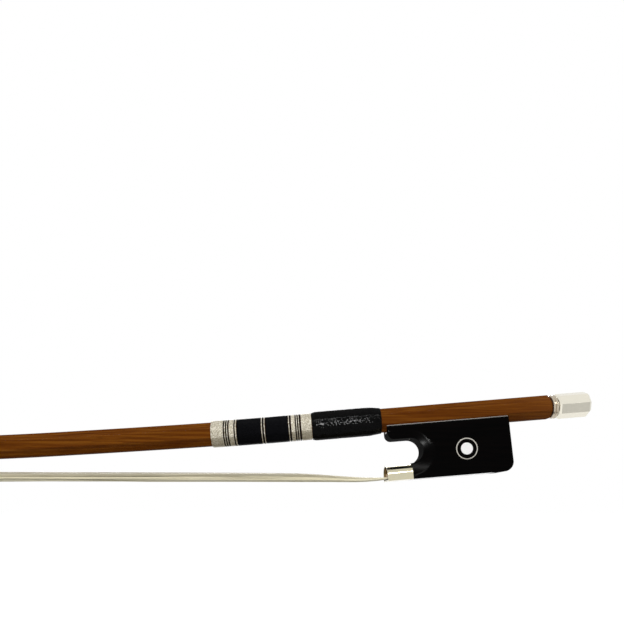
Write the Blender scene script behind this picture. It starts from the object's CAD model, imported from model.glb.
# %% [markdown]
# A cello bow, dressed for its portrait.
# The measured model comes in as a fixed frame of named parts. Each cell below makes one real piece of the bow
# or one of its finishes, and says why it was made that way. Lengths are written in millimetres, as a bow maker
# would give them, and `MM` turns them into Blender's metres. Only the studio round the bow, with its floor, lamps
# and card, and the places that a shader compares are given in metres.

import math
import random

import bmesh
import bpy
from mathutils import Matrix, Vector, noise


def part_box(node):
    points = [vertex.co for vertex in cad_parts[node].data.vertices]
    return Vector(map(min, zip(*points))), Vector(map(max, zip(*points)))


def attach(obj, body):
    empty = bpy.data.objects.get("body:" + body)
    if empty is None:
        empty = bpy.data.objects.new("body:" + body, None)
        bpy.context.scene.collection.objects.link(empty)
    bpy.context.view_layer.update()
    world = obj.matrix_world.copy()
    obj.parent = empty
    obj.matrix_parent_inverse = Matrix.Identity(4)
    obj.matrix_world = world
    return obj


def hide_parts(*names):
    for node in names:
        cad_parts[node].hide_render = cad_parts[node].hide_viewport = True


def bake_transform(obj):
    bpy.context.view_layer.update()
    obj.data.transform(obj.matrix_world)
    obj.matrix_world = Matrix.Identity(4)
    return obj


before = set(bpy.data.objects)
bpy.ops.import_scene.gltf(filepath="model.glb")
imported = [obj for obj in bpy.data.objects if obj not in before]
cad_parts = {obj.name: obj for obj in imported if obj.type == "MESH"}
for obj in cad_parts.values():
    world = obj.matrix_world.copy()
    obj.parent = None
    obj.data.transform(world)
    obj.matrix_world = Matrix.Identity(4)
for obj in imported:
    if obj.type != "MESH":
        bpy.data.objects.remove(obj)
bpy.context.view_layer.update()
MM = 0.001

# %% [markdown]
# The photograph is two close-ups of one bow, laid one above the other on white. One camera can't stand in two
# places, so this one stands where the lower close-up was taken from: level, a little below the hair, and about
# 227 mm away, with the lens shifted up rather than tilted. A small tilt stands in for part of the shift, which
# keeps the bow well inside the picture when the camera is moved round it.

# %% The camera
PICTURE = 624
FOCAL_PX = 533.5
HORIZON_PX = 505
SENSOR = 36.0
TILT = math.radians(3)
CAMERA_ALONG, CAMERA_LEVEL, NEAREST_SEEN = -14.9, -34.7, 10
DISTANCE, RISE = 227.0, 25.0   # from the camera to the bow's middle plane, and up to the middle of its end

camera_data = bpy.data.cameras.new("portrait_camera")
camera = bpy.data.objects.new("portrait_camera", camera_data)
bpy.context.scene.collection.objects.link(camera)
bpy.context.scene.camera = camera
camera_data.sensor_width = SENSOR
tilt_scale = math.cos(TILT) + RISE / DISTANCE * math.sin(TILT)
camera_data.lens = SENSOR * FOCAL_PX / PICTURE * tilt_scale
camera_data.shift_y = (HORIZON_PX - PICTURE / 2 - FOCAL_PX * math.tan(TILT)) / PICTURE
camera.location = Vector((CAMERA_ALONG, -DISTANCE, CAMERA_LEVEL)) * MM
camera.rotation_euler = (math.pi / 2 + TILT, 0, 0)
camera_data.clip_start = NEAREST_SEEN * MM
print("lens", round(camera_data.lens, 2), "shift", round(camera_data.shift_y, 3))

# %% [markdown]
# A material is a graph of nodes, and so is the world round the bow. It could be put together by hand in the
# shader editor, but written down it can be read and run again. Two helpers keep that short: one starts an empty
# material, the other adds a node with its settings and sockets by name.

# %% Helpers for materials
def new_material(name):
    material = bpy.data.materials.new(name)
    material.use_nodes = True
    nodes, links = material.node_tree.nodes, material.node_tree.links
    nodes.clear()
    return material, nodes, links


def node(nodes, kind, **settings):
    made = nodes.new(kind)
    for key, value in settings.items():
        if hasattr(made, key):
            setattr(made, key, value)
        else:
            made.inputs[key.replace("_", " ")].default_value = value
    return made


print("materials at the start", len(bpy.data.materials))

# %% [markdown]
# The bow stands before plain white, which could be made with more light or with a white picture behind it. More
# light would bleach the pale pieces, so the white here isn't light. It is a colour that only the camera and the
# reflections see, while the room lights things evenly and far more weakly.

# %% White surroundings
ROOM_LIGHT = 0.34
WHITE = (1, 1, 1, 1)


def seen_directly(nodes, links):
    """1 where the camera, a reflection or a transmission looks, 0 for the light that falls on things."""
    path = node(nodes, "ShaderNodeLightPath")
    total = path.outputs["Is Camera Ray"]
    for name in ("Is Glossy Ray", "Is Transmission Ray"):
        either = node(nodes, "ShaderNodeMath", operation="MAXIMUM")
        links.new(total, either.inputs[0])
        links.new(path.outputs[name], either.inputs[1])
        total = either.outputs[0]
    return total


world = bpy.data.worlds.new("white_studio")
bpy.context.scene.world = world
world.use_nodes = True
nodes, links = world.node_tree.nodes, world.node_tree.links
nodes.clear()
room = node(nodes, "ShaderNodeBackground", Color=WHITE, Strength=ROOM_LIGHT)
white = node(nodes, "ShaderNodeBackground", Color=WHITE, Strength=1.0)
mix = node(nodes, "ShaderNodeMixShader")
links.new(seen_directly(nodes, links), mix.inputs[0])
links.new(room.outputs[0], mix.inputs[1])
links.new(white.outputs[0], mix.inputs[2])
links.new(mix.outputs[0], node(nodes, "ShaderNodeOutputWorld").inputs[0])
bpy.context.scene.view_settings.view_transform = "Standard"
print("room light", ROOM_LIGHT)

# %% [markdown]
# The floor is a sheet of pale paper. It keeps its diffuse part, so the bow's soft shadow still falls on it, and
# the white that it lacks is added for the camera and the reflections alone. It brightens toward its edge, where
# the eye meets it at a flat angle, so that no horizon shows.

# %% The floor
FLOOR_LEVEL, FLOOR_REACH = -0.11, 4.5
FLOOR_PAPER = (0.4, 0.4, 0.4, 1)
FLOOR_FADE = (("From Min", 0.7), ("From Max", 1.8), ("To Min", 0.82), ("To Max", 0.88))


def sheet(name, left, right, near, far, level, material):
    """A flat rectangle that belongs to the studio and not to the bow, in metres."""
    data = bpy.data.meshes.new(name)
    data.from_pydata([(left, near, level), (right, near, level), (right, far, level), (left, far, level)], [],
                     [(0, 1, 2, 3)])
    data.materials.append(material)
    made = bpy.data.objects.new(name, data)
    bpy.context.scene.collection.objects.link(made)
    return made


pale_floor, nodes, links = new_material("pale_floor")
paper = node(nodes, "ShaderNodeBsdfDiffuse", Color=FLOOR_PAPER)
lift = node(nodes, "ShaderNodeEmission", Color=WHITE)
distance = node(nodes, "ShaderNodeVectorMath", operation="LENGTH")
links.new(node(nodes, "ShaderNodeNewGeometry").outputs["Position"], distance.inputs[0])
fade = node(nodes, "ShaderNodeMapRange")
for key, number in FLOOR_FADE:
    fade.inputs[key].default_value = number
links.new(distance.outputs["Value"], fade.inputs["Value"])
links.new(fade.outputs[0], lift.inputs["Strength"])
both = node(nodes, "ShaderNodeAddShader")
mix = node(nodes, "ShaderNodeMixShader")
links.new(paper.outputs[0], both.inputs[0])
links.new(lift.outputs[0], both.inputs[1])
links.new(seen_directly(nodes, links), mix.inputs[0])
links.new(paper.outputs[0], mix.inputs[1])
links.new(both.outputs[0], mix.inputs[2])
links.new(mix.outputs[0], node(nodes, "ShaderNodeOutputMaterial").inputs[0])
sheet("studio_floor", -FLOOR_REACH, FLOOR_REACH, -FLOOR_REACH, FLOOR_REACH, FLOOR_LEVEL, pale_floor)
print("floor at", FLOOR_LEVEL, "reaching", FLOOR_REACH)

# %% [markdown]
# A broad lamp stands in front of the bow and a second one behind it, so that the far side can be looked at too.
# Two small lamps are kept to one piece each, as a snoot in front of them would: the low one draws the edges of
# the black frog, the high one the shine on the leather. A grey card lies before the button and is seen only in
# reflections, because a silver facet has no tone of its own: it shows what it faces.

# %% Lamps
def softbox(name, place, aim, width, height, power):
    data = bpy.data.lights.new(name, "AREA")
    data.shape = "RECTANGLE"
    data.size, data.size_y = width, height
    data.energy = power
    lamp = bpy.data.objects.new(name, data)
    bpy.context.scene.collection.objects.link(lamp)
    lamp.location = place
    lamp.rotation_euler = (Vector(aim) - Vector(place)).to_track_quat("-Z", "Y").to_euler()
    return lamp


def snoot(lamp, piece):
    """Keep a lamp to one piece, as a tube in front of it would."""
    reach = bpy.data.collections.new(lamp.name + "_reach")
    reach.objects.link(piece)
    lamp.light_linking.receiver_collection = reach


BOW_MIDDLE, LEATHER_MIDDLE = (-0.25, 0, -0.01), (0, 0, 0)
CARD_GREY, CARD_ABOVE = 0.66, 0.005

softbox("front_lamp", (-0.3, -1.35, 0.78), BOW_MIDDLE, width=1.9, height=0.09, power=21)
softbox("back_lamp", (-0.3, 1.35, 0.78), BOW_MIDDLE, width=1.9, height=0.09, power=16)
glint = softbox("low_lamp", (-0.1, -0.9, -0.1), LEATHER_MIDDLE, width=0.1, height=0.03, power=4.8)
gleam = softbox("leather_lamp", (0.055, -0.8, 0.115), LEATHER_MIDDLE, width=0.16, height=0.01, power=2.4)
glint.visible_diffuse = gleam.visible_diffuse = False

card_grey, nodes, links = new_material("card_grey")
grey = node(nodes, "ShaderNodeEmission", Color=WHITE, Strength=CARD_GREY)
links.new(grey.outputs[0], node(nodes, "ShaderNodeOutputMaterial").inputs[0])
card = sheet("grey_card", left=0.1, right=0.3, near=-0.3, far=-0.09, level=FLOOR_LEVEL + CARD_ABOVE,
             material=card_grey)
card.visible_camera = card.visible_diffuse = card.visible_shadow = False

# %% [markdown]
# The stick's axis is one long curve: straight where the frog slides, then sagging toward the hair and rising
# again at the head. The wood, the winding and the leather all follow it, so it is written once, as the same
# points and the same centripetal curve that the measured model uses, and everything else asks it for a place.

# %% The stick's axis
NECK_SPAN = 562.9
HAIR_DROP = 23.5
STICK_END = 86.4
STICK_FLATS = 9.8
SEAT_ANGLE = math.radians(4.7)
SEAT_AHEAD = Vector((math.cos(SEAT_ANGLE), 0, math.sin(SEAT_ANGLE)))
SEAT_UP = Vector((-math.sin(SEAT_ANGLE), 0, math.cos(SEAT_ANGLE)))
CAMBER = [(0, 0), (0.081, -0.163), (0.202, -0.352), (0.262, -0.429), (0.444, -0.584), (0.638, -0.631),
          (0.714, -0.588), (0.79, -0.506), (0.865, -0.369), (0.941, -0.163), (1, 0.034)]
TAPER = [(0, 1), (0.262, 1), (0.444, 0.985), (0.638, 0.955), (0.714, 0.9), (0.79, 0.83), (0.865, 0.755),
         (0.941, 0.695), (1, 0.655)]
KNOTS = [SEAT_AHEAD * STICK_END] + [Vector((-a * NECK_SPAN, 0, u * HAIR_DROP)) for a, u in CAMBER]


def curve_through(points, t):
    """A centripetal curve through the points, t from 0 at the first to 1 at the last."""
    spans = len(points) - 1
    low = min(int(t * spans), spans - 1)
    share = t * spans - low
    b, c = points[low], points[low + 1]
    a = points[low - 1] if low > 0 else b * 2 - c
    d = points[low + 2] if low + 2 <= spans else c * 2 - b
    step0, step1, step2 = ((q - p).length ** 0.5 for p, q in ((a, b), (b, c), (c, d)))
    start = ((b - a) / step0 - (c - a) / (step0 + step1) + (c - b) / step1) * step1
    end = ((c - b) / step1 - (d - b) / (step1 + step2) + (d - c) / step2) * step1
    return (b + start * share + (b * -3 + c * 3 - start * 2 - end) * share ** 2
            + (b * 2 - c * 2 + start + end) * share ** 3)


def read_table(table, at):
    for (x0, y0), (x1, y1) in zip(table, table[1:]):
        if at <= x1:
            return y0 + (y1 - y0) * (at - x0) / (x1 - x0)
    return table[-1][1]


def axis_at(distance):
    """Place, direction, upward direction and flats of the stick. Positive distances run back along the seat."""
    if distance >= 0:
        return SEAT_AHEAD * distance, SEAT_AHEAD, SEAT_UP, STICK_FLATS
    share = min(1.0, -distance / NECK_SPAN)
    low = max(i for i, (key, _) in enumerate(CAMBER[:-1]) if key <= share)
    inside = (share - CAMBER[low][0]) / (CAMBER[low + 1][0] - CAMBER[low][0])
    t = (low + 1 + inside) / (len(KNOTS) - 1)
    step = 0.0002
    place = curve_through(KNOTS, t)
    ahead = (curve_through(KNOTS, max(0, t - step)) - curve_through(KNOTS, min(1, t + step))).normalized()
    return place, ahead, Vector((-ahead.z, 0, ahead.x)), STICK_FLATS * read_table(TAPER, share)


print("axis at the neck", [round(v, 1) for v in axis_at(-NECK_SPAN)[0]])

# %% [markdown]
# A piece of the bow gets its shape in one of two ways. Wood, thread, hide and hair are made new from points.
# Metal, ebony and pearl are copied from the measured model, whose surfaces are right but whose edges are too
# sharp, so those are eased. Either way the piece is told which body carries it and which node it stands for.

# %% Helpers for meshes
BEVEL_STEPS = 3
SMOOTH_UP_TO = 60
WELD = 0.002


def mesh_object(name, points, faces, material, body=None):
    """A new piece, from points in millimetres. One that bends between two bodies rides on none."""
    data = bpy.data.meshes.new(name)
    data.from_pydata([tuple(Vector(p) * MM) for p in points], [], faces)
    data.validate()
    for polygon in data.polygons:
        polygon.use_smooth = True
    made = bpy.data.objects.new(name, data)
    bpy.context.scene.collection.objects.link(made)
    data.materials.append(material)
    if body:
        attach(made, body)
    return made


def sharpen(data, degrees):
    """Smooth faces that stay crisp where they meet at more than an angle."""
    edit = bmesh.new()
    edit.from_mesh(data)
    for face in edit.faces:
        face.smooth = True
    for edge in edit.edges:
        edge.smooth = len(edge.link_faces) == 2 and edge.calc_face_angle(0) < math.radians(degrees)
    edit.to_mesh(data)
    edit.free()


def dress(name, material, body, bevel, degrees):
    """A measured node with its edges eased and its round faces smooth. It stands where the node stands."""
    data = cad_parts[name].data.copy()
    data.name = name + "_dressed"
    data.materials.clear()
    data.materials.append(material)
    edit = bmesh.new()
    edit.from_mesh(data)
    bmesh.ops.remove_doubles(edit, verts=edit.verts, dist=WELD * MM)
    edit.to_mesh(data)
    edit.free()
    made = bpy.data.objects.new(name + "_dressed", data)
    bpy.context.scene.collection.objects.link(made)
    if bevel:
        eased = made.modifiers.new("eased_edges", "BEVEL")
        eased.width = bevel * MM
        eased.segments = BEVEL_STEPS
        eased.limit_method = "ANGLE"
        eased.angle_limit = math.radians(degrees)
    sharpen(data, SMOOTH_UP_TO if bevel else degrees)
    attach(made, body)
    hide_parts(name)
    return made


def tube_faces(rings, size, first=0):
    """The sides and both caps of a thread whose points run ring by ring."""
    faces = []
    for low in range(first, first + (rings - 1) * size, size):
        for i in range(size):
            j = (i + 1) % size
            faces.append((low + i, low + j, low + size + j, low + size + i))
    last = first + (rings - 1) * size
    return faces + [tuple(range(first + size - 1, first - 1, -1)), tuple(range(last, last + size))]


print("nodes to stand in for", len(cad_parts))

# %% [markdown]
# Each finish is one Principled shader fed by noise in the object's own coordinates, which are metres here. The
# noise is squeezed along the bow for wood, hair and brushed metal, and left even for leather and pearl. A value
# that is the same all over goes straight onto the shader's socket, and only what varies is linked.

# %% A small kit for finishes
def finish(name, color, roughness, metallic=0.0, **sockets):
    """A Principled material, and a kit to link variation into it."""
    material, nodes, links = new_material(name)
    shader = node(nodes, "ShaderNodeBsdfPrincipled")
    output = node(nodes, "ShaderNodeOutputMaterial")
    links.new(shader.outputs[0], output.inputs[0])
    shader.inputs["Base Color"].default_value = (*color, 1)
    shader.inputs["Roughness"].default_value = roughness
    shader.inputs["Metallic"].default_value = metallic
    for key, value in sockets.items():
        shader.inputs[key.replace("_", " ")].default_value = value
    where = node(nodes, "ShaderNodeTexCoord").outputs["Object"]
    return material, (nodes, links, shader, where)


def noise_at(kit, stretch, detail=3.0, roughness=0.55, distortion=0.0):
    """Noise whose grains repeat so many times a metre along x, y and z."""
    nodes, links, _, where = kit
    mapping = node(nodes, "ShaderNodeMapping", Scale=stretch)
    texture = node(nodes, "ShaderNodeTexNoise", Scale=1.0, Detail=detail, Roughness=roughness,
                   Distortion=distortion)
    links.new(where, mapping.inputs[0])
    links.new(mapping.outputs[0], texture.inputs["Vector"])
    return texture.outputs["Fac"]


def cells_at(kit, stretch):
    """The distance to the nearest of scattered points, which makes rounded cells."""
    nodes, links, _, where = kit
    mapping = node(nodes, "ShaderNodeMapping", Scale=stretch)
    texture = node(nodes, "ShaderNodeTexVoronoi", Scale=1.0)
    links.new(where, mapping.inputs[0])
    links.new(mapping.outputs[0], texture.inputs["Vector"])
    return texture.outputs["Distance"]


def ramp(kit, value, stops):
    """Colours along a value, given as (place, (r, g, b))."""
    nodes, links, _, _ = kit
    made = node(nodes, "ShaderNodeValToRGB")
    band = made.color_ramp
    while len(band.elements) < len(stops):
        band.elements.new(0.5)
    for element, (place, color) in zip(band.elements, stops):
        element.position = place
        element.color = (*color, 1)
    links.new(value, made.inputs[0])
    return made.outputs[0]


def blend_colors(kit, factor, first, second):
    nodes, links, _, _ = kit
    made = node(nodes, "ShaderNodeMix", data_type="RGBA")
    sockets = [s for s in made.inputs if s.type == "RGBA"]
    if isinstance(factor, float):
        made.inputs[0].default_value = factor
    else:
        links.new(factor, made.inputs[0])
    for socket, value in zip(sockets, (first, second)):
        if isinstance(value, tuple):
            socket.default_value = (*value, 1)
        else:
            links.new(value, socket)
    return [s for s in made.outputs if s.type == "RGBA"][0]


def spread(kit, value, low, high, start=0.3, end=0.7):
    """A value carried to another range."""
    nodes, links, _, _ = kit
    made = node(nodes, "ShaderNodeMapRange")
    for key, number in (("From Min", start), ("From Max", end), ("To Min", low), ("To Max", high)):
        made.inputs[key].default_value = number
    links.new(value, made.inputs["Value"])
    return made.outputs[0]


print("finishes so far", len(bpy.data.materials))

# %% [markdown]
# Relief could be made in the mesh, and for the hide and the threads it is. Pores and brush lines are finer than
# any mesh, so a bump node tilts the light on them instead. The other helpers paint a colour and a roughness, and
# find out where a place lies and which way it looks, so that one side of a piece can differ from the other.

# %% Relief, paint and sides
def bump(kit, height, depth, strength):
    """Relief of a given depth in millimetres."""
    nodes, links, shader, _ = kit
    made = node(nodes, "ShaderNodeBump", Strength=strength, Distance=depth * MM)
    links.new(height, made.inputs["Height"])
    links.new(made.outputs[0], shader.inputs["Normal"])


def paint(kit, color, roughness=None):
    _, links, shader, _ = kit
    links.new(color, shader.inputs["Base Color"])
    if roughness:
        links.new(roughness, shader.inputs["Roughness"])


def along(kit, output, way):
    """How far the place, or the direction that the surface faces, reaches along a direction."""
    nodes, links, _, _ = kit
    product = node(nodes, "ShaderNodeVectorMath", operation="DOT_PRODUCT")
    product.inputs[1].default_value = way
    links.new(node(nodes, "ShaderNodeTexCoord").outputs[output], product.inputs[0])
    return product.outputs["Value"]


def multiply(kit, first, second):
    nodes, links, _, _ = kit
    product = node(nodes, "ShaderNodeMath", operation="MULTIPLY")
    links.new(first, product.inputs[0])
    links.new(second, product.inputs[1])
    return product.outputs[0]


def worn_edges(kit, most):
    """Up to the given share along outer edges, where hands and cloths rub."""
    geometry = node(kit[0], "ShaderNodeNewGeometry")
    return spread(kit, geometry.outputs["Pointiness"], 0.0, most, 0.52, 0.6)


print("finishes before the wood", len(bpy.data.materials))

# %% [markdown]
# Bow wood is dense and fine. Its colour runs in long streaks, with short dark pores between them, under a thin
# rubbed polish. Two noises at different stretches make the streaks and the pores, a slow one drifts the tone
# from orange to red, and the same pores press a very shallow relief into the surface. The bevel round the
# head's throat, which looks back along the stick, is blackened, as on many bows.

# %% Wood
WOOD_DARK, WOOD_MID, WOOD_LIGHT = (0.066, 0.015, 0.001), (0.134, 0.038, 0.003), (0.24, 0.085, 0.008)
WORN_WOOD, BLACKENED = (0.3, 0.11, 0.03), (0.0042, 0.0038, 0.0036)
HEAD_BEGINS, THROAT_LOOKS = (-0.574, -0.564), (0.75, 0, -0.66)
wood, kit = finish("bow_wood", WOOD_MID, 0.36, Coat_Weight=0.03, Coat_Roughness=0.14, Specular_IOR_Level=0.0)
streaks = noise_at(kit, (24, 1150, 1150), 5.0, 0.66, 0.2)
pores = noise_at(kit, (110, 2600, 2600), 3.0, 0.6)
drift = noise_at(kit, (9, 60, 60), 2.0)
grain = ramp(kit, streaks, [(0.28, WOOD_DARK), (0.48, WOOD_MID), (0.7, WOOD_LIGHT)])
grain = blend_colors(kit, spread(kit, pores, 0.0, 0.55, 0.56, 0.68), grain, (0.035, 0.008, 0.0015))
grain = blend_colors(kit, spread(kit, drift, 0.0, 0.4), grain, (0.09, 0.02, 0.003))
grain = blend_colors(kit, worn_edges(kit, 0.3), grain, WORN_WOOD)
in_head = spread(kit, along(kit, "Object", (1, 0, 0)), 1.0, 0.0, *HEAD_BEGINS)
throat_side = spread(kit, along(kit, "Normal", THROAT_LOOKS), 0.0, 0.97, 0.2, 0.42)
grain = blend_colors(kit, multiply(kit, throat_side, in_head), grain, BLACKENED)
paint(kit, grain, spread(kit, pores, 0.3, 0.45))
bump(kit, pores, 0.03, 0.5)

plug_wood, kit = finish("pale_wedge_wood", (0.5, 0.33, 0.17), 0.65)
grain = noise_at(kit, (120, 900, 900), 3.0)
paint(kit, ramp(kit, grain, [(0.3, (0.36, 0.21, 0.1)), (0.7, (0.6, 0.42, 0.24))]))
bump(kit, grain, 0.05, 0.5)
print("wood from", WOOD_DARK, "to", WOOD_LIGHT)

# %% [markdown]
# Ebony is black, but never quite: it has faint brown lines, a silky polish, and edges that catch light. The
# specular level stays low, because a strong white reflection all over would turn it grey.

# %% Ebony and the head's black liner
def black_wood(name, roughness, tone, coat):
    material, kit = finish(name, tone, roughness, Specular_IOR_Level=0.0, Coat_Weight=coat, Coat_Roughness=0.17)
    lines = noise_at(kit, (60, 1500, 900), 4.0, 0.6)
    pores = noise_at(kit, (500, 4200, 4200), 2.0)
    warm = tuple(c * f for c, f in zip(tone, (2.6, 2.0, 1.8)))
    paint(kit, ramp(kit, lines, [(0.42, tone), (0.75, warm)]),
          spread(kit, pores, roughness - 0.05, roughness + 0.1))
    bump(kit, pores, 0.012, 0.5)
    return material


ebony = black_wood("polished_ebony", 0.3, (0.0007, 0.0006, 0.0006), 0.03)
core_ebony = black_wood("plain_ebony", 0.42, (0.003, 0.0026, 0.0024), 0.04)
black_liner = black_wood("head_liner_black", 0.4, (0.0025, 0.0025, 0.003), 0.05)
print("black woods", [m.name for m in (ebony, core_ebony, black_liner)])

# %% [markdown]
# The face plate is a thin pale slip, yellower where it is worn. Nacre is built of layers, so its colour shifts
# in soft patches between cream, rose and green, under a clear and very smooth surface.

# %% Face plate and nacre
face_plate, kit = finish("face_plate_cream", (0.83, 0.8, 0.7), 0.34, Coat_Weight=0.15, Coat_Roughness=0.2)
layers = noise_at(kit, (60, 420, 420), 3.0)
paint(kit, ramp(kit, layers, [(0.3, (0.74, 0.69, 0.56)), (0.7, (0.88, 0.86, 0.79))]))
bump(kit, layers, 0.02, 0.4)

pearl, kit = finish("nacre", (0.97, 0.97, 0.97), 0.16, Coat_Weight=0.6, Coat_Roughness=0.06)
patches = noise_at(kit, (330, 330, 330), 3.0, 0.6, 1.6)
tints = ramp(kit, patches, [(0.3, (0.86, 0.92, 0.89)), (0.45, (0.95, 0.95, 0.93)), (0.58, (0.94, 0.89, 0.91)),
                            (0.72, (0.97, 0.96, 0.94))])
paint(kit, tints, spread(kit, patches, 0.1, 0.24))
bump(kit, noise_at(kit, (240, 900, 500), 4.0), 0.01, 0.3)
print("pale finishes", face_plate.name, "and", pearl.name)

# %% [markdown]
# Nickel silver is a warm grey, and hand polishing leaves fine lines round or along it. The button is brighter.
# Handled metal is never evenly smooth, so its roughness wanders.

# %% Metals
def metal(name, color, roughness, mirror=0.6, brush=(40, 2200, 2200), depth=0.004, amount=0.25):
    """Metal whose mirror share shows the white room, and whose remainder is shaded by the lamps."""
    material, kit = finish(name, color, roughness, mirror, Specular_IOR_Level=0.1)
    lines = noise_at(kit, brush, 2.0)
    cloud = noise_at(kit, (160, 160, 160), 3.0, 0.6, 0.5)
    dulled = tuple(c * t for c, t in zip(color, (0.62, 0.55, 0.42)))
    stain = spread(kit, cloud, 0.0, amount, 0.45, 0.75)
    tone = blend_colors(kit, stain, color, dulled)
    paint(kit, tone, spread(kit, cloud, roughness - 0.05, roughness + 0.12))
    bump(kit, lines, depth, 0.6)
    return material


nickel = metal("nickel_silver", (0.76, 0.73, 0.63), 0.22, 0.5)
ferrule_nickel = metal("ferrule_nickel_silver", (0.6, 0.56, 0.41), 0.13, 1.0)
collar_metal = metal("collar_nickel_silver", (0.5, 0.44, 0.35), 0.16, 0.8, (1300, 120, 120), 0.001, 0.1)
button_silver = metal("button_bright_silver", (0.78, 0.745, 0.64), 0.14, 0.85, depth=0.0004, amount=0.05)
ring_metal = metal("ring_nickel_silver", (0.5, 0.48, 0.43), 0.25, 0.5)
liner_silver = metal("liner_silver", (0.97, 0.94, 0.9), 0.4, 0.1)
steel = metal("screw_steel", (0.4, 0.4, 0.39), 0.32)
brass = metal("eyelet_brass", (0.62, 0.4, 0.12), 0.3)
print("finishes so far", len(bpy.data.materials))

# %% [markdown]
# Stick and head are one piece of wood. It could be a subdivided cage, but facets cut by a plane are flat with
# small rounded corners, so the skin is made ring by ring instead: eight corners, each rounded by three points,
# carried along the axis and then down through the rows of the head.

# %% The rows of the head
HEAD_REACH, HEAD_HEIGHT, HEAD_WIDTH = 32.7, 27.8, 10.6
NOSE_LEVEL = -13.8
# each row: crown back and up, throat back and up, two places between them, and the four half widths
HEAD_ROWS = [
    (1.424, 0.643, 1.416, 0.409, 0.293, 0.293, 0.131, 0.312, 0.312, 0.131),
    (1.25, 0.679, 1.29, 0.42, 0.28, 0.3, 0.125, 0.312, 0.312, 0.131),
    (1.06, 0.715, 1.208, 0.408, 0.22, 0.33, 0.11, 0.305, 0.315, 0.131),
    (0.9, 0.735, 1.145, 0.355, 0.15, 0.33, 0.09, 0.3, 0.32, 0.131),
    (0.8, 0.712, 1.1, 0.292, 0.11, 0.31, 0.08, 0.295, 0.325, 0.133),
    (0.728, 0.655, 1.07, 0.23, 0.09, 0.27, 0.075, 0.29, 0.335, 0.137),
    (0.65, 0.551, 1.048, 0.16, 0.08, 0.22, 0.07, 0.285, 0.35, 0.142),
    (0.553, 0.4, 1.032, 0.081, 0.075, 0.18, 0.07, 0.275, 0.37, 0.15),
    (0.446, 0.25, 1.02, -0.01, 0.07, 0.15, 0.07, 0.262, 0.395, 0.16),
    (0.336, 0.128, 1.011, -0.102, 0.06, 0.128, 0.075, 0.245, 0.42, 0.172),
    (0.21, 0.045, 1.005, -0.186, 0.05, 0.116, 0.085, 0.222, 0.45, 0.188),
    (0.126, 0.04, 1.002, -0.232, 0.045, 0.11, 0.1, 0.2, 0.475, 0.2),
]
FACE_ROW = [(0.062, 0.067), (0.029, 0.012), (0.905, -0.241), (1, -0.268)]
FACE_WIDTHS = (0.11, 0.19, 0.495, 0.22)
NOSE = Vector((-NECK_SPAN - HEAD_REACH * HEAD_ROWS[0][0], 0, NOSE_LEVEL))
print("rows of the head", len(HEAD_ROWS), "nose at", [round(v, 1) for v in NOSE])

# %% [markdown]
# Every ring has the same number of points, eight corners of three each, so a face of the stick runs on into the
# cheek of the head without a seam. A ring is built as its right half and mirrored.

# %% Rings
OCTAGON_SHARE = math.sqrt(2) - 1
CORNER_RADIUS, CORNER_SAG, LONGEST_CUT = 0.7, 0.52, 0.3


def head_point(back, up):
    return Vector((NOSE.x + back * HEAD_REACH, 0, NOSE.z + up * HEAD_HEIGHT))


def mirrored(right):
    return right + [Vector((p.x, -p.y, p.z)) for p in reversed(right)]


def head_corners(row):
    crown, throat = head_point(row[0], row[1]), head_point(row[2], row[3])
    profile = [crown, crown.lerp(throat, row[4]), throat.lerp(crown, row[5]), throat]
    return mirrored([Vector((p.x, w * HEAD_WIDTH, p.z)) for p, w in zip(profile, row[6:])])


def stick_corners(distance, flats=None):
    place, _, up, own = axis_at(distance)
    half = (flats or own) / 2
    side = half * OCTAGON_SHARE
    pairs = [(side, half), (half, side), (half, -side), (side, -half)]
    return mirrored([place + up * z + Vector((0, y, 0)) for y, z in pairs])


def rounded(corners):
    """Each corner becomes three points on a small arc."""
    ring = []
    for i, corner in enumerate(corners):
        before, after = corners[i - 1] - corner, corners[(i + 1) % len(corners)] - corner
        turn = math.pi - before.angle(after)
        cut_back = min(CORNER_RADIUS * math.tan(turn / 2), LONGEST_CUT * before.length, LONGEST_CUT * after.length)
        first, last = corner + before.normalized() * cut_back, corner + after.normalized() * cut_back
        ring += [first, corner.lerp((first + last) / 2, CORNER_SAG), last]
    return ring


def skin(rings):
    """Quads between rings, and caps laid in strips across the mirror line."""
    size = len(rings[0])
    points = [p for ring in rings for p in ring]
    faces = []
    for r in range(len(rings) - 1):
        for i in range(size):
            j = (i + 1) % size
            faces.append((r * size + i, r * size + j, (r + 1) * size + j, (r + 1) * size + i))
    last = (len(rings) - 1) * size
    for i in range(size // 2 - 1):
        faces.append((size - 1 - i, size - 2 - i, i + 1, i))
        faces.append((last + i, last + i + 1, last + size - 2 - i, last + size - 1 - i))
    return points, faces


def circle(distance, radius, count=24):
    """A round section of the seat, its points in step with the rounded octagon's."""
    step = 2 * math.pi / count
    place = SEAT_AHEAD * distance
    return [place + SEAT_UP * (radius * math.cos(a)) + Vector((0, radius * math.sin(a), 0))
            for a in (step * (i + 0.5) for i in range(count))]


print("points in a ring", len(rounded(stick_corners(0))))

# %% [markdown]
# The rows of the head are few, as a maker's templates are. Between them the wood is carried by a smooth curve, so
# the cheeks have no steps. Behind the head come the stations of the stick and the chamfered end. Last comes the
# round tenon for the button, whose bore turns back inward, so that the whole is one closed skin.

# %% The wood
ROWS_BETWEEN = 4
STICK_STATIONS, FIRST_STATION = 132, 3
END_CHAMFER, TENON_LENGTH, TENON_RADIUS, TENON_CHAMFER = 1.0, 2.6, 3.3, 0.2
BORE_RADIUS, BORE_LENGTH = 1.6, 45

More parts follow.
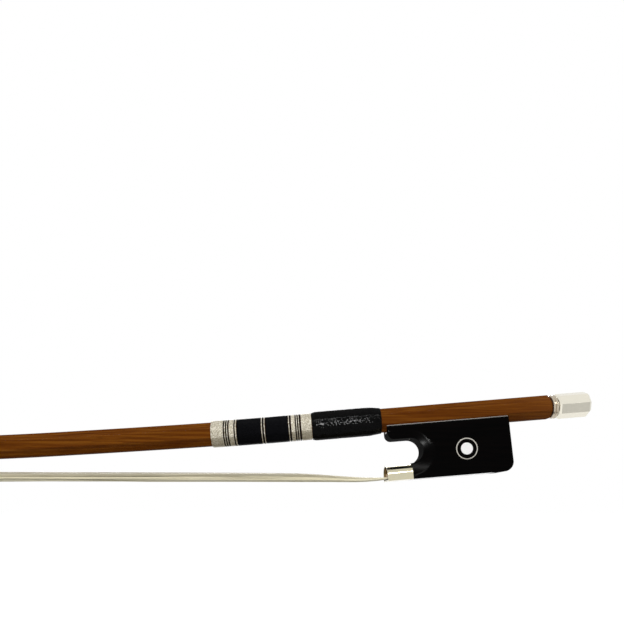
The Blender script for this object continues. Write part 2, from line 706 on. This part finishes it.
rows = [head_corners(row) for row in HEAD_ROWS]
after_neck = stick_corners(-NECK_SPAN * (1 - FIRST_STATION / STICK_STATIONS))
face = mirrored([Vector((p.x, w * HEAD_WIDTH, p.z))
                 for p, w in zip((head_point(*f) for f in FACE_ROW), FACE_WIDTHS)])
rings = [face, [p.lerp(q, 0.5) for p, q in zip(face, rows[-1])]]
smooth_rows = [after_neck] + rows + [[q * 2 - p for p, q in zip(rows[-2], rows[-1])]]
for r in range(len(rows) - 1, 0, -1):
    for step in range(ROWS_BETWEEN):
        t = step / ROWS_BETWEEN
        ring = []
        for a, b, c, d in zip(smooth_rows[r + 2], smooth_rows[r + 1], smooth_rows[r], smooth_rows[r - 1]):
            ring.append(b + (c - a) * (t / 2) + (a * 2 - b * 5 + c * 4 - d) * (t ** 2 / 2)
                        + (b * 3 - a - c * 3 + d) * (t ** 3 / 2))
        rings.append(ring)
rings.append(rows[0])
rings += [stick_corners(-NECK_SPAN * (1 - i / STICK_STATIONS))
          for i in range(FIRST_STATION, STICK_STATIONS + 1)]
rings += [stick_corners(STICK_END * share) for share in (0.25, 0.5, 0.75)]
rings += [stick_corners(STICK_END - END_CHAMFER), stick_corners(STICK_END, flats=STICK_FLATS - 2 * END_CHAMFER)]
rings = [rounded(ring) for ring in rings]
tenon_end = STICK_END + TENON_LENGTH
rings += [circle(STICK_END, TENON_RADIUS), circle(tenon_end - TENON_CHAMFER, TENON_RADIUS),
          circle(tenon_end, TENON_RADIUS - TENON_CHAMFER), circle(tenon_end, BORE_RADIUS),
          circle(STICK_END - BORE_LENGTH, BORE_RADIUS)]
stick = mesh_object("stick_and_head", *skin(rings), wood, "stick")
print("rings of wood", len(rings))

# %% [markdown]
# Two openings are cut into the wood afterward, as on the bench: the mortise under the head's face, which holds
# the hair's knot, and the slot in which the eyelet travels. A Boolean with a plain block does both and leaves the
# flats alone. Then the normals are weighted by face area.

# %% Mortise and slot
BIG_FACE_WEIGHT, CRISP_FROM = 60, 50


def block(points_low, points_high):
    """A plain cutter from four points of its floor and four of its roof."""
    faces = [(0, 1, 2, 3), (7, 6, 5, 4), (0, 4, 5, 1), (1, 5, 6, 2), (2, 6, 7, 3), (3, 7, 4, 0)]
    return list(points_low) + list(points_high), faces


def carve(piece, points, faces):
    """Cuts a block out of a piece for good."""
    data = bpy.data.meshes.new("cutter")
    data.from_pydata([tuple(p * MM) for p in points], [], faces)
    tool = bpy.data.objects.new("cutter", data)
    bpy.context.scene.collection.objects.link(tool)
    edit = bmesh.new()
    edit.from_mesh(data)
    bmesh.ops.recalc_face_normals(edit, faces=edit.faces)
    edit.to_mesh(data)
    edit.free()
    step = piece.modifiers.new("cut", "BOOLEAN")
    step.object, step.solver = tool, "EXACT"
    graph = bpy.context.evaluated_depsgraph_get()
    shaped = bpy.data.meshes.new_from_object(piece.evaluated_get(graph))
    piece.modifiers.clear()
    piece.data = shaped
    bpy.data.objects.remove(tool)


def flat_sides_flat(piece):
    """Normals that follow the big faces, so that only the small ones look round."""
    step = piece.modifiers.new("weighted_normals", "WEIGHTED_NORMAL")
    step.weight = BIG_FACE_WEIGHT
    step.keep_sharp = True
    return piece


FACE_FRONT, FACE_HEEL = head_point(*FACE_ROW[1]), head_point(*FACE_ROW[3])
FACE_LINE = (FACE_HEEL - FACE_FRONT).normalized()
FACE_OUT = Vector((FACE_LINE.z, 0, -FACE_LINE.x))
MORTISE_START, MORTISE_LENGTH = 0.54 * HEAD_REACH, 0.32 * HEAD_REACH
MORTISE_WIDTH, MORTISE_DEPTH = 0.5 * HEAD_WIDTH, 0.19 * HEAD_HEIGHT


def face_point(back, out, side=0.0):
    return FACE_FRONT + FACE_LINE * back + FACE_OUT * out + Vector((0, side, 0))


def seat_point(back, up, side=0.0):
    return SEAT_AHEAD * back + SEAT_UP * up + Vector((0, side, 0))


PAST_FACE, PAST_BELLY = 4, -9   # how far each cutter stands out of the wood
EYELET_PLACE, SLOT_REACH, SLOT_WIDTH, SLOT_TOP = 40.9, (4.5, 8.5), 4.2, 3.1
OPENINGS = [
    (face_point, MORTISE_START, MORTISE_START + MORTISE_LENGTH, MORTISE_WIDTH, -MORTISE_DEPTH, PAST_FACE),
    (seat_point, EYELET_PLACE - SLOT_REACH[0], EYELET_PLACE + SLOT_REACH[1], SLOT_WIDTH, PAST_BELLY, SLOT_TOP),
]
for point_at, start, end, width, floor_level, roof_level in OPENINGS:
    corners = [(start, -width / 2), (end, -width / 2), (end, width / 2), (start, width / 2)]
    carve(stick, *block([point_at(back, floor_level, side) for back, side in corners],
                        [point_at(back, roof_level, side) for back, side in corners]))
sharpen(stick.data, CRISP_FROM)
flat_sides_flat(stick)
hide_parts("stick")

# %% [markdown]
# The winding is a thread laid turn beside turn, pale tinsel with narrow black lines and two broad black bands.
# A striped texture on a sleeve would look right from far off, but threads catch light one by one and stand up at
# the edge. So each turn is real: a bead-shaped section swept along a helix that follows the octagon.

# %% Threads
thread_pale, kit = finish("pale_tinsel_thread", (0.56, 0.51, 0.41), 0.42, 0.2, Specular_IOR_Level=0.1)
speckle = noise_at(kit, (2300, 2300, 2300), 2.0, 0.7)
tinsel = ramp(kit, speckle, [(0.3, (0.22, 0.185, 0.12)), (0.47, (0.6, 0.55, 0.43)), (0.64, (0.86, 0.83, 0.75))])
dulled = spread(kit, along(kit, "Normal", (0, 0, -1)), 0.0, 0.38, 0.25, 0.5)
paint(kit, blend_colors(kit, dulled, tinsel, (0.25, 0.2, 0.105)), spread(kit, speckle, 0.55, 0.3))
bump(kit, noise_at(kit, (2200, 5200, 5200), 2.0), 0.03, 0.7)

thread_dark, kit = finish("black_silk_thread", (0.004, 0.004, 0.005), 0.5, Specular_IOR_Level=0.03)
fibres = noise_at(kit, (1500, 4200, 4200), 2.0)
paint(kit, ramp(kit, fibres, [(0.4, (0.002, 0.002, 0.0025)), (0.75, (0.007, 0.007, 0.009))]),
      spread(kit, fibres, 0.42, 0.6))
bump(kit, fibres, 0.02, 0.6)

FACET_STEPS = [math.radians(a) for a in (-19.5, -7, 7, 19.5)]
TURN_STEPS = 8 * len(FACET_STEPS)
THREAD_SECTION = [(math.cos(a), math.sin(a)) for a in (math.radians(90 + 60 * k) for k in range(6))]
THREAD_OVERLAP = 0.53
OCTAGON_CORNER = math.radians(22.5)
CORNER_EASE, EASE_POWER = 0.015, 10


def octagon_radius(angle, half, ease=CORNER_EASE):
    """From the middle of an octagon to its side, with its corners drawn in by a share."""
    off = (angle + OCTAGON_CORNER) % (2 * OCTAGON_CORNER) - OCTAGON_CORNER
    return half / math.cos(off) * (1 - ease * (abs(off) / OCTAGON_CORNER) ** EASE_POWER)


def helix(start, pitch, turns, half_height, stand):
    """One thread, from a distance along the stick, with its section's height and the gap under it."""
    points = []
    steps = int(turns * TURN_STEPS)
    for step in range(steps + 1):
        facet, within = divmod(step, len(FACET_STEPS))
        angle = facet * math.pi / 4 + FACET_STEPS[within]
        distance = start + pitch * (0.5 + (turns - 1) * step / steps) if turns > 1 else start + pitch / 2
        place, ahead, up, flats = axis_at(distance)
        radius = octagon_radius(angle, flats / 2 + stand + half_height)
        out = up * math.cos(angle) + Vector((0, math.sin(angle), 0))
        for beside, away in THREAD_SECTION:
            points.append(place + out * (radius + away * half_height) + ahead * (beside * pitch * THREAD_OVERLAP))
    return points, tube_faces(steps + 1, len(THREAD_SECTION))


def joined(parts):
    points, faces = [], []
    for more_points, more_faces in parts:
        faces += [tuple(i + len(points) for i in f) for f in more_faces]
        points += more_points
    return points, faces


print("points in a turn", TURN_STEPS * len(THREAD_SECTION))

# %% [markdown]
# The winding is written as its maker would call it out, run by run, with the turns of each tone. The numbers of
# turns come from the band widths in the photograph. Each run of the measured model becomes one piece in its main
# tone. The lines of the other tone inside it are a piece of their own, because they are another thread.

# %% The winding
THREAD_TONES = {"silver": (thread_pale, "thread_silver"), "black": (thread_dark, "thread_black")}
THREAD_STAND, THREAD_HALF_HEIGHT = 0.12, 0.22
WINDING_START = -57.87
WINDING_LENGTH = 43.6
# each run: its share of the length, its main tone, and its turns, b black and s silver
WINDING_RUNS = [
    (0.124, "silver", "s24"), (0.055, "black", "b2 s2 b2 s2 b2"), (0.053, "silver", "s10"),
    (0.258, "black", "b2 s3 b44"), (0.037, "silver", "s2 b3 s2"), (0.264, "black", "b45 s2 b3"),
    (0.043, "silver", "s8"), (0.058, "black", "b2 s2 b2 s2 b3"), (0.108, "silver", "s21"),
]
run_start = WINDING_START
total_turns = 0
for number, (share, tone, stripes) in enumerate(WINDING_RUNS, 1):
    counts = [(s[0], int(s[1:])) for s in stripes.split()]
    turns = sum(n for _, n in counts)
    pitch = share * WINDING_LENGTH / turns
    threads = {"s": [], "b": []}
    at = run_start
    for letter, n in counts:
        threads[letter].append(helix(at, pitch, n, THREAD_HALF_HEIGHT, THREAD_STAND))
        at += n * pitch
    for letter, word in (("s", "silver"), ("b", "black")):
        if not threads[letter]:
            continue
        material, slot = THREAD_TONES[word]
        main = word == tone
        name = f"winding_{number}_{'thread' if main else 'lines'}"
        piece = mesh_object(name, *joined(threads[letter]), material, "stick")
        if main:
            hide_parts(f"winding_{number}_{tone}")
    run_start += share * WINDING_LENGTH
    total_turns += turns
print("winding turns", total_turns, "from", WINDING_START, "to", round(run_start, 2))

# %% [markdown]
# The thumb leather is a strip of black pebbled hide, glued round the facets and pressed down at its ends. Its
# grain is part of its shape here: every point of a fine grid is raised by a field of small cells, so the pebbles
# show at the edge as well. The strip's two long edges meet in a lap at the back, where the thumb doesn't rub. Its
# end at the frog is pared thin over a longer way than the end at the winding.

# %% Leather finish
leather, kit = finish("pebbled_black_leather", (0.003, 0.003, 0.003), 0.4, Specular_IOR_Level=0.0,
                      Coat_Weight=0.08, Coat_Roughness=0.04)
pebbles = cells_at(kit, (1050, 1050, 1050))
pits = noise_at(kit, (5200, 5200, 5200), 2.0)
paint(kit, ramp(kit, pebbles, [(0.15, (0.003, 0.0029, 0.0028)), (0.7, (0.0008, 0.0008, 0.0008))]),
      spread(kit, pebbles, 0.3, 0.55, 0.1, 0.7))
bump(kit, pits, 0.005, 0.6)

print("leather finish", leather.name)

# %% [markdown]
# Three things set how far a point of the hide stands from the stick: its section, which lies between the octagon
# and a circle, its thickness, which is pared at the ends, and its grain. A ring of points takes them together.

# %% The hide
LEATHER_HALF, LEATHER_STAND, LEATHER_THICK = 14.15, 0.12, 0.85
PARED_WAY, PARED_TO = 4.8, 0.3   # at the frog
PRESSED_WAY, PRESSED_TO = 1.584, 0.25   # at the winding
GRID_ALONG, GRID_ROUND = 210, 230
HIDE_ROUND, HIDE_CIRCLE, HIDE_EASE = 0.45, 1.045, 0.025
HIDE_RADIUS, HIDE_UNEVEN, UNEVEN_RATE = 5.8, 0.06, 0.35
PEBBLE_SIZE, PEBBLE_HEIGHT, PEBBLE_STEEP, PEBBLE_MEAN = 0.75, 0.05, 2.2, 0.75
LAP_ANGLE, LAP_WIDTH, LAP_DEPTH = math.radians(112), 0.035, 0.11


def leather_radius(angle, half):
    """Hide bridges the corners, so its section lies between an octagon and a circle."""
    return (1 - HIDE_ROUND) * octagon_radius(angle, half, HIDE_EASE) + HIDE_ROUND * half * HIDE_CIRCLE


def leather_thickness(distance):
    inward = LEATHER_HALF - abs(distance)
    if distance > 0:
        return LEATHER_THICK * (PARED_TO + (1 - PARED_TO) * min(1.0, inward / PARED_WAY))
    return LEATHER_THICK * math.sqrt(PRESSED_TO + (1 - PRESSED_TO) * min(1.0, inward / PRESSED_WAY))


def grain_height(distance, angle):
    around = Vector((distance, math.cos(angle) * HIDE_RADIUS, math.sin(angle) * HIDE_RADIUS)) / PEBBLE_SIZE
    nearest, second = noise.voronoi(around)[0][:2]
    pebble = min(1.0, (second - nearest) * PEBBLE_STEEP) - PEBBLE_MEAN
    lap = LAP_DEPTH * math.exp(-((angle - LAP_ANGLE) / LAP_WIDTH) ** 2) if angle < LAP_ANGLE else 0.0
    return PEBBLE_HEIGHT * pebble + HIDE_UNEVEN * noise.noise(around * UNEVEN_RATE) - lap


def leather_ring(step, inner=False):
    distance = -LEATHER_HALF + 2 * LEATHER_HALF * step / GRID_ALONG
    place, _, up, flats = axis_at(distance)
    half = flats / 2 + LEATHER_STAND
    ring = []
    for k in range(GRID_ROUND):
        angle = 2 * math.pi * k / GRID_ROUND
        if inner:
            radius = octagon_radius(angle, half)
        else:
            radius = leather_radius(angle, half + leather_thickness(distance)) + grain_height(distance, angle)
        ring.append(place + (up * math.cos(angle) + Vector((0, math.sin(angle), 0))) * radius)
    return ring


points = [point for step in range(GRID_ALONG + 1) for point in leather_ring(step)]
points += leather_ring(GRID_ALONG, inner=True) + leather_ring(0, inner=True)
faces = []
bands = GRID_ALONG + 3
for i in range(bands):
    for k in range(GRID_ROUND):
        j = (k + 1) % GRID_ROUND
        a, b = i * GRID_ROUND, (i + 1) % bands * GRID_ROUND
        faces.append((a + k, b + k, b + j, a + j))
hide = mesh_object("thumb_leather_hide", points, faces, leather, "stick")
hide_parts("thumb_leather")
snoot(gleam, hide)
print("leather points", len(points))

# %% [markdown]
# Bow hair is a flat ribbon of some two hundred horse hairs, tied at both ends and spread by a wedge. On a slack
# bow it hangs a little loose, so it is thicker in the middle and single hairs wander. Blender's own hair could
# draw it, but the exported model needs real meshes: each hair is a thin swept tube along the ribbon's route,
# with its own slow drift, over a streaked core that stands for the hairs inside. The playing side carries rosin,
# so it is paler than the side toward the stick.

# %% Hair finish
HAIR_TONES = [(0.3, (0.5, 0.44, 0.28)), (0.45, (0.66, 0.6, 0.42)), (0.6, (0.76, 0.7, 0.51)),
              (0.75, (0.86, 0.82, 0.65))]
HAIR_GREYED, HAIR_ROSINED = (0.4, 0.37, 0.29), (0.97, 0.92, 0.7)
STICK_SIDE, PLAYING_SIDE = (-0.0236, -0.0214), (-0.0245, -0.0228)
hair_finish, kit = finish("cream_horsehair", (0.6, 0.54, 0.38), 0.42, Specular_IOR_Level=0.2)
each = noise_at(kit, (6, 3400, 3400), 1.0)
length_wise = noise_at(kit, (90, 900, 900), 3.0)
tone = blend_colors(kit, 0.35, ramp(kit, each, HAIR_TONES), ramp(kit, length_wise, HAIR_TONES))
height = along(kit, "Object", (0, 0, 1))
tone = blend_colors(kit, spread(kit, height, 0.0, 0.75, *STICK_SIDE), tone, HAIR_GREYED)
tone = blend_colors(kit, spread(kit, height, 0.85, 0.0, *PLAYING_SIDE), tone, HAIR_ROSINED)
paint(kit, tone, spread(kit, each, 0.32, 0.55))
bump(kit, each, 0.05, 0.5)
print("hair tones", len(HAIR_TONES))

# %% [markdown]
# The ribbon comes out of the head's mortise, runs slack below the stick, lies on the wedge in the ferrule and
# turns up into the frog's mortise. Its thickness and width change on the way. A table of stops says so, and a
# smooth curve through them gives the place of every station.

# %% The ribbon's route
# each stop: along, up, thickness, width
HAIR_STOPS = [
    (-589.68, -15.64, 1.1, 4.32), (-590.25, -17.94, 1.1, 4.32), (-589.74, -20.48, 1.1, 4.32),
    (-583.72, -22.18, 1.5, 6.84), (-577.36, -23.72, 1.5, 7.2), (-573.39, -23.98, 1.93, 7.2),
    (-562.9, -23.56, 2.69, 7.2), (-529.13, -23.47, 2.86, 7.33), (-486.91, -23.43, 2.94, 7.49),
    (-444.69, -23.09, 3.61, 7.71), (-360.26, -22.84, 4.12, 8.54), (-168.87, -22.8, 4.2, 9.89),
    (-43.91, -22.95, 3.91, 10.4), (-20.26, -23.05, 3.7, 10.66), (-11.26, -23.3, 3.19, 10.85),
    (7.88, -23.93, 1.93, 10.91), (16.18, -23.49, 1.1, 11.23), (18.07, -23.34, 1.1, 10.4),
    (22.71, -22.96, 1.1, 8), (23.53, -22.61, 1.1, 8), (26.08, -20.01, 1.1, 7.7), (30.06, -19.68, 1.1, 7.4),
    (41.58, -18.74, 1.1, 7.4), (43.18, -17.5, 1.1, 7.4), (42.94, -14.61, 1.1, 7.4),
]
ROUTE = [Vector((x, 0, z)) for x, z, _, _ in HAIR_STOPS]
STEP_LENGTH = 5.5
stations = []
for low in range(len(ROUTE) - 1):
    spans = max(2, math.ceil((ROUTE[low + 1] - ROUTE[low]).length / STEP_LENGTH))
    for k in range(spans):
        stations.append((low + k / spans) / (len(ROUTE) - 1))
stations.append(1.0)


def ribbon_at(t):
    """Place, upward direction, thickness and width of the ribbon."""
    step = 0.0005
    place = curve_through(ROUTE, t)
    ahead = (curve_through(ROUTE, min(1, t + step)) - curve_through(ROUTE, max(0, t - step))).normalized()
    spans = len(HAIR_STOPS) - 1
    low = min(spans - 1, int(t * spans))
    share = t * spans - low
    thick, wide = (HAIR_STOPS[low][k] + (HAIR_STOPS[low + 1][k] - HAIR_STOPS[low][k]) * share for k in (2, 3))
    return place, Vector((-ahead.z, 0, ahead.x)), thick, wide


ribbon = [ribbon_at(t) for t in stations]
print("ribbon stations", len(ribbon))

# %% [markdown]
# A hair keeps its own place in the ribbon's section, most of them toward the outside, where they are seen. Three
# slow waves of its own move it about, more where the ribbon is thick and loose than where it is held. The chance
# is seeded, so the same hairs grow each time.

# %% Hairs
HAIRS = 190
HAIR_RADIUS, HAIR_SIDES = 0.11, 4
CORE_SHARE = 0.8
CORE_SECTION = ((0.6, 1), (0.85, 0.8), (1, 0), (0.85, -0.8), (0.6, -1),
                (-0.6, -1), (-0.85, -0.8), (-1, 0), (-0.85, 0.8), (-0.6, 1))
HELD_THICKNESS, LOOSE_OVER = 1.1, 1.2
INNERMOST, TO_THE_SIDES, ROUND_SHOULDER, RISE_SWAY = 0.35, 1.25, 0.2, 1.3
WAVES, WAVE_RATES, WAVE_SIZES = 3, (0.008, 0.03), (0.02, 0.09)
THINNEST, THICKEST = 0.8, 1.15
chance = random.Random(11)
points, faces = [], []
for _ in range(HAIRS):
    ring_angle = chance.uniform(0, 2 * math.pi)
    reach = math.sqrt(chance.uniform(INNERMOST, 1.0))
    y_share = max(-1.0, min(1.0, TO_THE_SIDES * reach * math.cos(ring_angle)))
    z_share = reach * math.sin(ring_angle)
    waves = [(chance.uniform(*WAVE_RATES), chance.uniform(0, 2 * math.pi), chance.uniform(*WAVE_SIZES))
             for _ in range(WAVES)]
    radius = HAIR_RADIUS * chance.uniform(THINNEST, THICKEST)
    first = len(points)
    for place, up, thick, wide in ribbon:
        loose = min(1.0, max(0.0, (thick - HELD_THICKNESS) / LOOSE_OVER))
        sway = sum(size * math.sin(place.x * rate + phase) for rate, phase, size in waves) * (0.3 + loose)
        side = max(-1.0, min(1.0, y_share + sway)) * (wide / 2 - radius)
        level = z_share * (0.95 - ROUND_SHOULDER * abs(y_share)) + sway * RISE_SWAY
        rise = max(-1.0, min(1.0, level)) * (thick / 2 - radius)
        for k in range(HAIR_SIDES):
            a = 2 * math.pi * k / HAIR_SIDES
            points.append(place + up * (rise + radius * math.cos(a)) + Vector((0, side + radius * math.sin(a), 0)))
    faces += tube_faces(len(ribbon), HAIR_SIDES, first)
hairs = mesh_object("hair_strands", points, faces, hair_finish)

core_rings = [[place + up * (thick / 2 * CORE_SHARE * z) + Vector((0, wide / 2 * CORE_SHARE * y, 0))
               for y, z in CORE_SECTION] for place, up, thick, wide in ribbon]
core = mesh_object("hair_core", *skin(core_rings), hair_finish)
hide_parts("hair_ribbon")
for piece in (hairs, core):
    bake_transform(piece)
print("hairs", HAIRS, "points", len(points))

# %% [markdown]
# Each end of the hair is bound with thread and sealed. The knots sit in their mortises behind wooden plugs and
# are seen only when the bow is taken apart, yet they are made as what they are: a bundle with a domed, singed
# end and a tight binding wound over it.

# %% Knots
KNOT_RADIUS, KNOT_SIDES = 1.08, 24
KNOT_SHAPE = ((-1, 0.45), (-0.96, 0.8), (-0.86, 1), (0.86, 1), (0.96, 0.8), (1, 0.45))
BINDING_TURNS, STEPS_A_TURN, BINDING_SHARE = 9, 20, 0.6
BINDING_STAND, BINDING_HEIGHT, BINDING_WIDTH = 0.02, 0.09, 0.14
BINDING_SECTION = ((1, 0), (0.3, 0.8), (-0.8, 0.4), (-0.8, -0.4), (0.3, -0.8))

knot_hair, kit = finish("bound_hair_singed", (0.5, 0.4, 0.24), 0.6)
streak = noise_at(kit, (3200, 200, 3200), 2.0)
paint(kit, ramp(kit, streak, [(0.35, (0.2, 0.14, 0.07)), (0.65, (0.66, 0.57, 0.38))]))
bump(kit, streak, 0.05, 0.6)
knot_thread, kit = finish("waxed_binding_thread", (0.42, 0.3, 0.14), 0.55)
twist = noise_at(kit, (2600, 900, 2600), 2.0)
paint(kit, ramp(kit, twist, [(0.35, (0.3, 0.2, 0.08)), (0.7, (0.52, 0.4, 0.22))]))
bump(kit, twist, 0.03, 0.6)


def across(centre, angle, radius, side):
    return centre + Vector((math.cos(angle) * radius, side, math.sin(angle) * radius))


def bundle(name, centre, width, body):
    """A bound bundle lying across the bow, in place of the measured knot."""
    rings = [[across(centre, 2 * math.pi * (k + 0.5) / KNOT_SIDES, KNOT_RADIUS * grow, share * width / 2)
              for k in range(KNOT_SIDES)] for share, grow in KNOT_SHAPE]
    heart = mesh_object(name + "_bundle", *skin(rings), knot_hair, body)
    points = []
    steps = BINDING_TURNS * STEPS_A_TURN
    for step in range(steps + 1):
        side = width * BINDING_SHARE * (step / steps - 0.5)
        for out, beside in BINDING_SECTION:
            radius = KNOT_RADIUS + BINDING_STAND + BINDING_HEIGHT * out
            points.append(across(centre, 2 * math.pi * step / STEPS_A_TURN, radius, side + BINDING_WIDTH * beside))
    faces = [face[:1] + face[:0:-1] for face in tube_faces(steps + 1, len(BINDING_SECTION))]
    binding = mesh_object(name + "_binding", points, faces, knot_thread, body)
    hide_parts(name)


for name, body in (("head_knot", "stick"), ("frog_knot", "frog")):
    low, high = (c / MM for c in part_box(name))
    bundle(name, (low + high) / 2, high.y - low.y, body)
    print(name, "is", round(high.y - low.y, 1), "mm wide")

# %% [markdown]
# The measured pieces that are already right in shape keep it: the frog, its metal fittings, the pearl, the plate
# and the button. Each is copied, its edges are eased as a file would ease them, and its round faces are made
# smooth, because a perfectly sharp edge catches no light and looks like plastic.

# %% Frog, fittings, head pieces and button
# each piece: its node, finish and body, the eased edge in mm, the angle in degrees that counts as an edge, its slot
DRESSED = [
    ("frog", ebony, "frog", 0.0, 38, "ebony"), ("slide", ebony, "frog", 0.1, 30, "ebony"),
    ("frog_liner", liner_silver, "frog", 0.0, 30, "nickel"),
    ("ferrule", ferrule_nickel, "frog", 0.16, 40, "ferrule_nickel"),
    ("pearl_slide", pearl, "frog", 0.12, 30, "pearl"), ("spread_wedge", plug_wood, "frog", 0.1, 30, "plug_wood"),
    ("frog_plug", plug_wood, "frog", 0.1, 30, "plug_wood"), ("eyelet", brass, "frog", 0.15, 40, "brass"),
    ("liner_pin_1", nickel, "frog", 0.06, 50, "nickel"), ("liner_pin_2", nickel, "frog", 0.06, 50, "nickel"),
    ("eye_ring_left", ring_metal, "frog", 0.05, 50, "nickel"),
    ("eye_ring_right", ring_metal, "frog", 0.05, 50, "nickel"),
    ("eye_pearl_left", pearl, "frog", 0.12, 50, "pearl"), ("eye_pearl_right", pearl, "frog", 0.12, 50, "pearl"),
    ("head_liner", black_liner, "stick", 0.06, 30, "black_liner"),
    ("head_plate", face_plate, "stick", 0.15, 30, "face_plate"),
    ("head_plug", plug_wood, "stick", 0.1, 30, "plug_wood"),
    ("button_core", core_ebony, "screw", 0.0, 40, "core_ebony"),
    ("button_collar", collar_metal, "screw", 0.0, 25, "collar_metal"),
    ("button_barrel", button_silver, "screw", 0.22, 30, "button_silver"),
]
for name, material, body, bevel, degrees, slot in DRESSED:
    piece = flat_sides_flat(dress(name, material, body, bevel, degrees))
    if name == "frog":
        snoot(glint, piece)
print("dressed", len(DRESSED))

# %% [markdown]
# The screw runs through the stick into the eyelet and draws the frog back. Its thread is only cut where the
# eyelet travels, 0.7 mm a turn. The measured model leaves it plain, so the visible one is made new: a shaft with
# a real helical ridge whose height fades at both ends.

# %% The screw
SHAFT_RADIUS, TIP_RADIUS, TIP_LENGTH = 1.5, 1.1, 12.0
SCREW_TIP, SCREW_END = 28.4, 101.42
TIP_CHAMFER, THREAD_RUN_OUT = 0.4, 1.0
THREAD_PITCH, THREAD_DEPTH, THREAD_FROM, THREAD_TO = 0.7, 0.32, 41.0, 54.0
SCREW_SIDES, RINGS_A_TURN = 24, 8


def screw_radius(distance, angle):
    if distance < SCREW_TIP + TIP_LENGTH:
        return TIP_RADIUS
    inside = min(distance - THREAD_FROM, THREAD_TO - distance)
    fade = min(1.0, max(0.0, inside / THREAD_RUN_OUT))
    wave = abs(((distance / THREAD_PITCH - angle / (2 * math.pi)) % 1.0) * 2 - 1)
    return SHAFT_RADIUS - THREAD_DEPTH * fade * wave


thread_length = THREAD_TO - THREAD_FROM
count = int(thread_length / THREAD_PITCH * RINGS_A_TURN)
places = [SCREW_TIP + TIP_CHAMFER, SCREW_TIP + TIP_LENGTH, SCREW_TIP + TIP_LENGTH + TIP_CHAMFER]
places += [THREAD_FROM + thread_length * k / count for k in range(count + 1)]
places += [THREAD_TO + THREAD_RUN_OUT, (THREAD_TO + SCREW_END) / 2, SCREW_END]
rings = [circle(SCREW_TIP, TIP_RADIUS - TIP_CHAMFER, SCREW_SIDES)]
for distance in places:
    ring = []
    for k in range(SCREW_SIDES):
        angle = 2 * math.pi * (k + 0.5) / SCREW_SIDES
        radius = screw_radius(distance, angle)
        ring.append(seat_point(distance, radius * math.cos(angle), radius * math.sin(angle)))
    rings.append(ring)
shaft = mesh_object("screw_shaft", *skin(rings), steel, "screw")
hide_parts("screw")
print("screw turns of thread", round(thread_length / THREAD_PITCH, 1))
